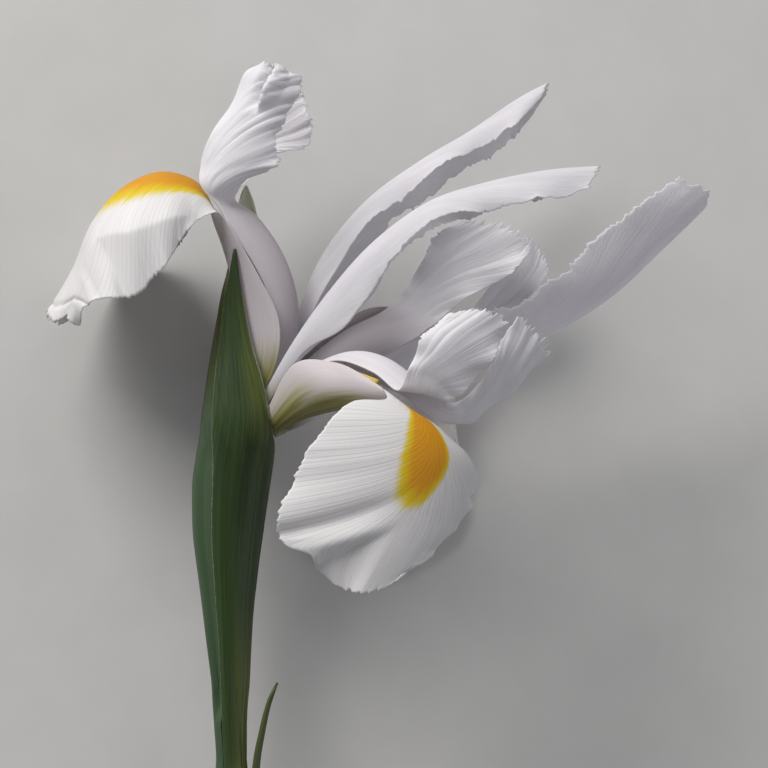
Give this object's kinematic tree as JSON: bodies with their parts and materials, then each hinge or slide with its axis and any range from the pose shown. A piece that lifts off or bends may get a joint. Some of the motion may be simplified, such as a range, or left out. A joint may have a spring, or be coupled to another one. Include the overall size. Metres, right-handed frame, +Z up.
{
  "type": "iris flower",
  "caption": "White iris bloom with drooping falls, upright standards and ruffled style crests, on a cut stem with bracts and a stem leaf, lying on its back.",
  "frame": {"origin": "centre of the bounding box's base, on the surface that the flower lies on", "axes": "+Y along the stem from its cut end to the bloom, +X to the bloom's open side, +Z up from the surface"},
  "size_m": [0.1308, 0.241, 0.068],
  "materials": {
    "stem": "satin",
    "bract": "satin",
    "leaf": "satin",
    "fall": "matte",
    "standard": "matte",
    "style": "matte",
    "stamen": "matte"
  },
  "bodies": {
    "root": {"stem": "stem", "ovary": "stem", "bract_front": "bract", "bract_back": "bract", "stem_leaf": "leaf", "fall_left": "fall", "fall_front": "fall", "fall_back": "fall", "standard_upper": "standard", "standard_middle": "standard", "standard_right": "standard", "style_arm_left": "style", "style_arm_front": "style", "style_arm_back": "style", "stamen_left": "stamen", "stamen_front": "stamen", "stamen_back": "stamen"}
  },
  "joints": []
}
